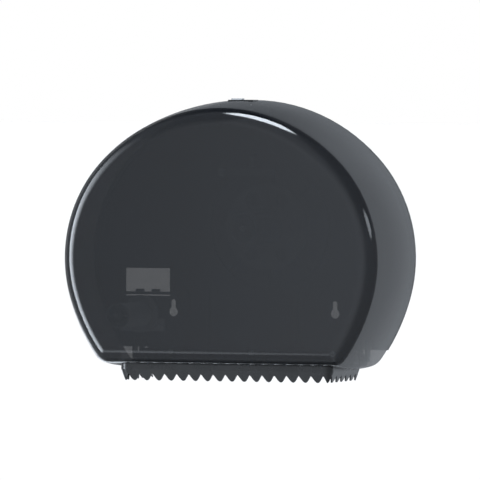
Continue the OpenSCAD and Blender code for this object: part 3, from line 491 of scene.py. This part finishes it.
# %% Outline of the case
side_tuck, corner_r = 66.5, 27.0
crown_a, shoulder_a, flank_a = (math.radians(a) for a in (46.2, 105.6, 125.8))


def outline_arcs():
    """The right side's four arcs: centre, radius, first and last angle from the crown, points."""
    s1, c1 = math.sin(crown_a), math.cos(crown_a)
    s2, c2 = math.sin(shoulder_a), math.cos(shoulder_a)
    s3, c3 = math.sin(flank_a), math.cos(flank_a)
    base = (side_tuck - corner_r * s3) / (s2 - s3)
    rate = (1 - s2) / (s2 - s3)
    need = case_h - case_w / 2 * (1 - c1) / s1 - base * (c2 - c3) - corner_r * (1 + c3)
    shoulder_r = need / ((c1 - c2) - (1 - s1) * (1 - c1) / s1 - rate * (c2 - c3))
    flank_r = base - rate * shoulder_r
    crown_r = (case_w / 2 - shoulder_r * (1 - s1)) / s1
    crown_c = (0.0, case_h - crown_r)
    shoulder_c = (crown_c[0] + (crown_r - shoulder_r) * s1, crown_c[1] + (crown_r - shoulder_r) * c1)
    flank_c = (shoulder_c[0] + (shoulder_r - flank_r) * s2, shoulder_c[1] + (shoulder_r - flank_r) * c2)
    corner_c = (flank_c[0] + (flank_r - corner_r) * s3, flank_c[1] + (flank_r - corner_r) * c3)
    return [
        (crown_c, crown_r, 0.0, crown_a, 48),
        (shoulder_c, shoulder_r, crown_a, shoulder_a, 60),
        (flank_c, flank_r, shoulder_a, flank_a, 26),
        (corner_c, corner_r, flank_a, math.pi, 20),
    ]


ARCS = outline_arcs()


def case_outline(inset):
    """The whole outline as (x, y) points, moved in by inset."""
    right = []
    for centre, radius, first, last, steps in ARCS:
        for i in range(steps):
            angle = first + (last - first) * i / steps
            reach = radius - inset
            right.append((centre[0] + reach * math.sin(angle), centre[1] + reach * math.cos(angle)))
    right.append((ARCS[3][0][0], inset))
    return right + [(-x, y) for x, y in reversed(right[1:])]


print("radii:", [round(arc[1], 1) for arc in ARCS], "points:", len(case_outline(0)))


# %% [markdown]
# Seen from the side, the wall bulges gently, leans in, and rolls over into the flat front. The
# same rule as in the CAD model gives how far in and how deep each ring of points lies. The
# inner face is the same rule, moved in by the wall's thickness.

# %% Wall of the cover
cover_wall, edge_r = 2.6, 20.0
crease_in, crease_lean, crease_drop = 7.0, math.radians(10), 1.4
cover_from = 5.3
side_run = case_d - edge_r + edge_r * math.sin(crease_lean) - cover_from
side_b = side_run * math.tan(crease_lean) - crease_in
side_a = crease_in - side_b
side_steps, edge_steps = 16, 24
flat_from = 0.25


def wall_rings(w):
    """Rings of the face that lies w inside the outer one: (inset, depth, drop) each."""
    rings = []
    for i in range(side_steps + 1):
        t = i / side_steps
        slope = math.atan((side_a + 2 * side_b * t) / side_run)
        depth = cover_from + side_run * t - (0 if i == 0 else w * math.sin(slope))
        rings.append((side_a * t + side_b * t * t + w * math.cos(slope), depth, crease_drop * t))
    edge_in = crease_in + edge_r * math.cos(crease_lean)
    for i in range(1, edge_steps + 1):
        a = crease_lean + (math.pi / 2 - crease_lean) * i / edge_steps
        inset = edge_in - (edge_r - w) * math.cos(a)
        depth = case_d - edge_r + (edge_r - w) * math.sin(a)
        rings.append((inset, depth, crease_drop))
    rings.append((edge_in + flat_from, case_d - w, crease_drop))
    return rings


def ring_points(ring):
    """The outline at one ring's inset and depth, as points in metres."""
    inset, depth, drop = ring
    return [place(x, y - drop, depth) for x, y in case_outline(inset)]


def smooth(mesh):
    """Smooth shading, except at edges sharper than 30 degrees."""
    for polygon in mesh.polygons:
        polygon.use_smooth = True
    mesh.set_sharp_from_angle(angle=math.radians(30))


def mesh_object(name, bm):
    """A plain, smooth mesh object from a bmesh."""
    mesh = bpy.data.meshes.new(name)
    bm.to_mesh(mesh)
    bm.free()
    smooth(mesh)
    made = bpy.data.objects.new(name, mesh)
    bpy.context.scene.collection.objects.link(made)
    return made


def cover_shell():
    """The cover's wall: the inner and the outer face, joined at the rear edge, closed in front."""
    bm = bmesh.new()
    outer = [[bm.verts.new(p) for p in ring_points(r)] for r in wall_rings(0)]
    inner = [[bm.verts.new(p) for p in ring_points(r)] for r in wall_rings(cover_wall)]
    rings = list(reversed(inner)) + outer
    n = len(outer[0])
    for low, high in zip(rings, rings[1:]):
        for i in range(n):
            bm.faces.new((low[i], low[(i + 1) % n], high[(i + 1) % n], high[i]))
    for ring in (outer[-1], inner[-1]):
        bm.faces.new((ring[0], ring[1], ring[-1]))
        for i in range(1, n // 2):
            bm.faces.new((ring[i], ring[i + 1], ring[-i - 1], ring[-i]))
    bmesh.ops.recalc_face_normals(bm, faces=bm.faces)
    return mesh_object("cover", bm)


cover = cover_shell()
print("cover shell:", len(cover.data.polygons), "faces")


# %% [markdown]
# The cover has a mouth in its bottom for the toothed frame, a window in its crown for the
# lock, and a heel rounded off about the hinge's axis along its whole width, so that it can swing.
# Each is a cutter taken away with a Boolean modifier. The two hinge eyes are added the same way.
# The flat pad that the CAD cover has inside, above the lock, isn't drawn here.

# %% Openings and hinge eyes
def prism(name, points):
    """A closed piece from two loops of points that match one to one."""
    bm = bmesh.new()
    loops = [[bm.verts.new(p) for p in loop] for loop in points]
    n = len(loops[0])
    for i in range(n):
        bm.faces.new((loops[0][i], loops[0][(i + 1) % n], loops[1][(i + 1) % n], loops[1][i]))
    bm.faces.new(loops[0])
    bm.faces.new(list(reversed(loops[1])))
    bmesh.ops.recalc_face_normals(bm, faces=bm.faces)
    return mesh_object(name, bm)


def box_piece(name, low, high):
    """A box between two corners of the case frame."""
    near = [(low[0], low[1]), (high[0], low[1]), (high[0], high[1]), (low[0], high[1])]
    return prism(name, [[place(x, y, d) for x, y in near] for d in (low[2], high[2])])


def combine(target, other, operation):
    """Applies a Boolean of another object to the target, and removes the other."""
    modifier = target.modifiers.new("combine", "BOOLEAN")
    modifier.operation = operation
    modifier.object = other
    modifier.solver = "EXACT"
    evaluated = target.evaluated_get(bpy.context.evaluated_depsgraph_get())
    mesh = bpy.data.meshes.new_from_object(evaluated)
    target.modifiers.clear()
    target.data = mesh
    bpy.data.objects.remove(other)


hinge_joint = next(j for j in frame["joints"] if j["name"] == "cover_hinge")
_, hinge_up, hinge_d = unplace(Vector(hinge_joint["pos_m"]))
heel_gap, heel_back, heel_below = 0.4, -2.0, -3.0
eye_r, eye_bore = 5.0, 2.05
eye_inner, eye_outer, eye_foot = 151.0, 156.0, 2.0
mouth_half, mouth_d = 145.0, 106.5
window_gap = 0.1


def arc_points(r, first, last, steps):
    """Points (y, d) on an arc about the hinge's axis, its angles in degrees."""
    return [(hinge_up + r * math.cos(a), hinge_d + r * math.sin(a))
            for a in (math.radians(first + (last - first) * i / steps) for i in range(steps + 1))]


def heel_cutter():
    """What lies outside a quarter turn about the hinge's axis, at the cover's lower rear edge."""
    arc = arc_points(hinge_up + heel_gap, 180, 270, 24)
    profile = arc + [(hinge_up, heel_back), (heel_below, heel_back), (heel_below, hinge_d)]
    return prism("heel", [[place(x, y, d) for y, d in profile] for x in (-case_w, case_w)])


def eye(side):
    """One hinge eye: a short block that ends round the axis, with its bore."""
    low_x, high_x = sorted((eye_inner * side, eye_outer * side))
    low, high = (low_x, eye_foot, hinge_d - eye_r), (high_x, hinge_up, hinge_d + eye_r)
    block = box_piece("eye", low, high)
    for r, operation, overhang in ((eye_r, "UNION", 0.0), (eye_bore, "DIFFERENCE", 1.0)):
        ring = arc_points(r, 0, 360, 48)[:-1]
        ends = (low_x - overhang, high_x + overhang)
        disc = prism("round", [[place(x, y, d) for y, d in ring] for x in ends])
        combine(block, disc, operation)
    return block


mouth_low, mouth_high = (-mouth_half, -4, -1), (mouth_half, cover_wall + crease_in, mouth_d)
combine(cover, box_piece("mouth", mouth_low, mouth_high), "DIFFERENCE")
combine(cover, heel_cutter(), "DIFFERENCE")
for side in (-1, 1):
    combine(cover, eye(side), "UNION")
bezel_low, bezel_high = (unplace(c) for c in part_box("lock_base"))
housing_top = unplace(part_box("lock_housing")[1])[1]
window_low = (bezel_low[0] - window_gap, housing_top - 4, bezel_high[2] - window_gap)
window_high = (bezel_high[0] + window_gap, case_h + 9, bezel_low[2] + window_gap)
combine(cover, box_piece("window", window_low, window_high), "DIFFERENCE")
smooth(cover.data)
cover.data.materials.clear()
cover.data.materials.append(smoke)
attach(cover, "cover")
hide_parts("front_cover")
print("cover:", len(cover.data.polygons), "faces")


# %% [markdown]
# ## Screws
# Every screw is the same thing at another size: a pan head with a cross recess on a plain
# shank. One Geometry Nodes tree builds that screw from its sizes and sets a copy on each seat.
# The seats are read from the CAD screws, so head, depth and direction follow the model. First
# come the helpers that build and run such a tree. The springs use them too.

# %% Node tree tools
def new_tree(title, sizes):
    """A node tree with named inputs, given as {name: socket kind}."""
    tree = bpy.data.node_groups.new(title, "GeometryNodeTree")
    tree.interface.new_socket("Geometry", in_out="INPUT", socket_type="NodeSocketGeometry")
    for name, kind in sizes.items():
        tree.interface.new_socket(name, in_out="INPUT", socket_type="NodeSocket" + kind)
    tree.interface.new_socket("Geometry", in_out="OUTPUT", socket_type="NodeSocketGeometry")
    return tree, tree.nodes.new("NodeGroupInput").outputs


def end_tree(tree, geometry, finish):
    """Ends a tree with real geometry that carries its finish."""
    real = tree.nodes.new("GeometryNodeRealizeInstances")
    tree.links.new(geometry, real.inputs[0])
    dressed = tree.nodes.new("GeometryNodeSetMaterial")
    tree.links.new(real.outputs[0], dressed.inputs["Geometry"])
    dressed.inputs["Material"].default_value = finish
    tree.links.new(dressed.outputs[0], tree.nodes.new("NodeGroupOutput").inputs[0])


def wire(tree, kind, links, **values):
    """A node with some of its sockets linked, given as {socket: source}."""
    made = node(tree, kind, **values)
    for key, source in links.items():
        tree.links.new(source, made.inputs[key])
    return made


def grow(name, tree, mesh, sizes):
    """Runs a tree on a mesh with these sizes, and keeps the result as a plain mesh."""
    grown = bpy.data.objects.new(name, mesh)
    bpy.context.scene.collection.objects.link(grown)
    modifier = grown.modifiers.new("grow", "NODES")
    modifier.node_group = tree
    for item in tree.interface.items_tree:
        if item.in_out == "INPUT" and item.name in sizes:
            modifier[item.identifier] = sizes[item.name]
    evaluated = grown.evaluated_get(bpy.context.evaluated_depsgraph_get())
    result = bpy.data.meshes.new_from_object(evaluated)
    grown.modifiers.clear()
    grown.data = result
    return grown


print("node tree tools ready")


# %% [markdown]
# The tree lays the head from a low cylinder and a tapered one on top, cuts two slots across them,
# adds the shank and its blunt tip below, and turns the whole screw to its direction. The shares
# below are parts of the head's height and radius and of the shank's radius.

# %% Screw tree
RIM_H, DOME_R = 0.6, 0.78
TIP_R, TIP_LENGTH = 0.55, 1.2
SLOT_LONG, SLOT_WIDE, SLOT_MIDDLE = 1.2, 0.24, 0.95


def screw_tree():
    """The tree that sets a pan head screw on every point of a mesh."""
    sizes = {"Head Radius": "Float", "Head Height": "Float", "Shank Radius": "Float",
             "Shank Length": "Float", "Direction": "Vector"}
    tree, given = new_tree("pan_head_screws", sizes)
    head_r, head_h = given["Head Radius"], given["Head Height"]
    shank_r, shank = given["Shank Radius"], given["Shank Length"]

    def times(size, factor):
        return math_node(tree, "MULTIPLY", size, factor)

    def drum(low_r, high_r, depth):
        """A cylinder that stands on the seat, or a cone where its radii differ."""
        links = {"Radius Bottom": low_r, "Radius Top": high_r, "Depth": depth}
        return wire(tree, "GeometryNodeMeshCone", links, in_Vertices=40).outputs["Mesh"]

    def lifted(geometry, height):
        move = wire(tree, "ShaderNodeCombineXYZ", {"Z": height})
        links = {"Geometry": geometry, "Translation": move.outputs[0]}
        return wire(tree, "GeometryNodeTransform", links).outputs[0]

    rim = times(head_h, RIM_H)
    dome = drum(head_r, times(head_r, DOME_R), math_node(tree, "SUBTRACT", head_h, rim))
    head = node(tree, "GeometryNodeMeshBoolean", operation="UNION", solver="EXACT")
    for solid in (drum(head_r, head_r, rim), lifted(dome, rim)):
        tree.links.new(solid, head.inputs["Mesh 2"])
    cut = node(tree, "GeometryNodeMeshBoolean", operation="DIFFERENCE", solver="EXACT")
    tree.links.new(head.outputs["Mesh"], cut.inputs["Mesh 1"])
    long_side, short_side = times(head_r, SLOT_LONG), times(head_r, SLOT_WIDE)
    for x, y in ((long_side, short_side), (short_side, long_side)):
        size = wire(tree, "ShaderNodeCombineXYZ", {"X": x, "Y": y, "Z": head_h})
        bar = wire(tree, "GeometryNodeMeshCube", {"Size": size.outputs[0]})
        slot = lifted(bar.outputs["Mesh"], times(head_h, SLOT_MIDDLE))
        tree.links.new(slot, cut.inputs["Mesh 2"])
    tip_h = times(shank_r, TIP_LENGTH)
    body_h = math_node(tree, "SUBTRACT", shank, tip_h)
    body = lifted(drum(shank_r, shank_r, body_h), times(body_h, -1.0))
    tip = lifted(drum(times(shank_r, TIP_R), shank_r, tip_h), times(shank, -1.0))
    whole = node(tree, "GeometryNodeJoinGeometry")
    for solid in (cut.outputs["Mesh"], body, tip):
        tree.links.new(solid, whole.inputs[0])
    turn = wire(tree, "FunctionNodeAlignRotationToVector", {"Vector": given["Direction"]}, axis="Z")
    copies = wire(tree, "GeometryNodeInstanceOnPoints", {
        "Points": given["Geometry"], "Instance": whole.outputs[0], "Rotation": turn.outputs[0]})
    end_tree(tree, copies.outputs[0], steel)
    return tree


pan_screws = screw_tree()
print("screw tree:", len(pan_screws.nodes), "nodes")


# %% [markdown]
# A CAD node can hold several screws. Welding its mesh and walking from corner to corner gives
# one group a screw. The group's box tells the axis, the widest ring of corners tells which end
# the head is at, and the head's height is how far those widest corners reach. The screws of a
# node are alike, so one of them gives the sizes for all.

# %% Screws at their seats
def islands(mesh):
    """The corners of a mesh, in one group for each separate screw."""
    bm = bmesh.new()
    bm.from_mesh(mesh)
    bmesh.ops.remove_doubles(bm, verts=bm.verts, dist=0.01 * MM)
    waiting, groups = set(bm.verts), []
    while waiting:
        front = [waiting.pop()]
        group = list(front)
        while front:
            for edge in front.pop().link_edges:
                for corner in edge.verts:
                    if corner in waiting:
                        waiting.discard(corner)
                        front.append(corner)
                        group.append(corner)
        groups.append([v.co.copy() for v in group])
    bm.free()
    return groups


RIM_CORNER = 0.97
BELOW_SEAT = 0.3


def read_screw(points):
    """A CAD screw's seat, direction and sizes, in metres."""
    low = Vector([min(p[i] for p in points) for i in range(3)])
    high = Vector([max(p[i] for p in points) for i in range(3)])
    size, middle = high - low, (low + high) / 2
    axis = min(range(3), key=lambda i: abs(size[(i + 1) % 3] - size[(i + 2) % 3]))
    u, v = [i for i in range(3) if i != axis]
    radius = {p.freeze(): math.hypot(p[u] - middle[u], p[v] - middle[v]) for p in points}
    head_r = max(radius.values())
    rim = [p[axis] for p, r in radius.items() if r > RIM_CORNER * head_r]
    way = 1 if (min(rim) + max(rim)) / 2 > middle[axis] else -1
    seat = middle.copy()
    seat[axis] = min(rim) if way > 0 else max(rim)
    head_h = max(rim) - min(rim)
    tail = [r for p, r in radius.items() if (p[axis] - seat[axis]) * way < -BELOW_SEAT * head_h]
    direction = Vector([way if i == axis else 0 for i in range(3)])
    return seat, direction, head_r, head_h, max(tail), size[axis] - head_h


bodies = frame["record"]["behaviour"]["bodies"]
body_of_node = {name: body for body, names in bodies.items() for name in names}
for name in [n for n in frame["nodes"] if "screw" in n]:
    found = [read_screw(points) for points in islands(frame["nodes"][name].data)]
    seats = bpy.data.meshes.new(name)
    seats.from_pydata([tuple(f[0]) for f in found], [], [])
    _, direction, head_r, head_h, shank_r, shank = found[0]
    screws = grow("turned_" + name, pan_screws, seats, {
        "Head Radius": head_r, "Head Height": head_h, "Shank Radius": shank_r,
        "Shank Length": shank, "Direction": direction})
    screws.data.set_sharp_from_angle(angle=math.radians(35))
    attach(screws, body_of_node[name])
    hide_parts(name)
    print(f"{name}: {len(found)} screws, head {head_r / MM:.2f} x {head_h / MM:.2f} mm,",
          f"shank {shank_r / MM:.2f} x {shank / MM:.1f} mm, {len(screws.data.polygons)} faces")


# %% [markdown]
# ## Springs
# Each of the three springs is a round wire on a spiral. The tree takes radius, wire, turns and
# height, sweeps the wire along the spiral and sets it at the spring's foot. The sizes come from
# the CAD springs' boxes, and the wire from what the model draws. The two that a joint presses
# together only get a mesh of their own here, and nothing in this script flattens them. Their
# travel is listed all the same: the button's is the button's own travel, and the brake's is 0.8 mm
# more than the arm rises at its middle, because the arm tilts under it and the spring's end stays
# level. WIRES gives each wire's radius in millimetres and its turns, and SQUEEZED the joint, the
# fixed end (0 low, 1 high) and the travel in millimetres.

# %% Spring tree
def spring_tree():
    """The tree that winds a round wire on a spiral, from its foot up."""
    sizes = {"Radius": "Float", "Wire": "Float", "Turns": "Float", "Height": "Float", "Foot": "Vector"}
    tree, given = new_tree("coil_springs", sizes)
    spiral = wire(tree, "GeometryNodeCurveSpiral", {
        "Rotations": given["Turns"], "Start Radius": given["Radius"], "End Radius": given["Radius"],
        "Height": given["Height"]}, in_Resolution=28)
    section = wire(tree, "GeometryNodeCurvePrimitiveCircle", {"Radius": given["Wire"]}, in_Resolution=12)
    coil = wire(tree, "GeometryNodeCurveToMesh", {
        "Curve": spiral.outputs[0], "Profile Curve": section.outputs[0]}, in_Fill_Caps=True)
    placed = wire(tree, "GeometryNodeTransform", {
        "Geometry": coil.outputs[0], "Translation": given["Foot"]})
    end_tree(tree, placed.outputs[0], steel)
    return tree


coils = spring_tree()
WIRES = {"brake_spring": (0.45, 6), "button_spring": (0.4, 4), "latch_spring": (0.35, 4)}
SQUEEZED = {"brake_spring": ("brake_swing", 1, 6.4), "button_spring": ("button_press", 0, 3.0)}
for name, (wire_r, turns) in WIRES.items():
    low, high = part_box(name)
    middle = (low + high) / 2
    foot = Vector((middle.x, middle.y, low.z + wire_r * MM))
    spring = grow("wound_" + name, coils, bpy.data.meshes.new(name), {
        "Radius": (high.x - low.x) / 2 - wire_r * MM, "Wire": wire_r * MM, "Turns": float(turns),
        "Height": high.z - low.z - 2 * wire_r * MM, "Foot": foot})
    for polygon in spring.data.polygons:
        polygon.use_smooth = True
    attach(spring, body_of_node[name])
    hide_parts(name)
    if name in SQUEEZED:
        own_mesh(spring)
    print(name, len(spring.data.polygons), "faces")
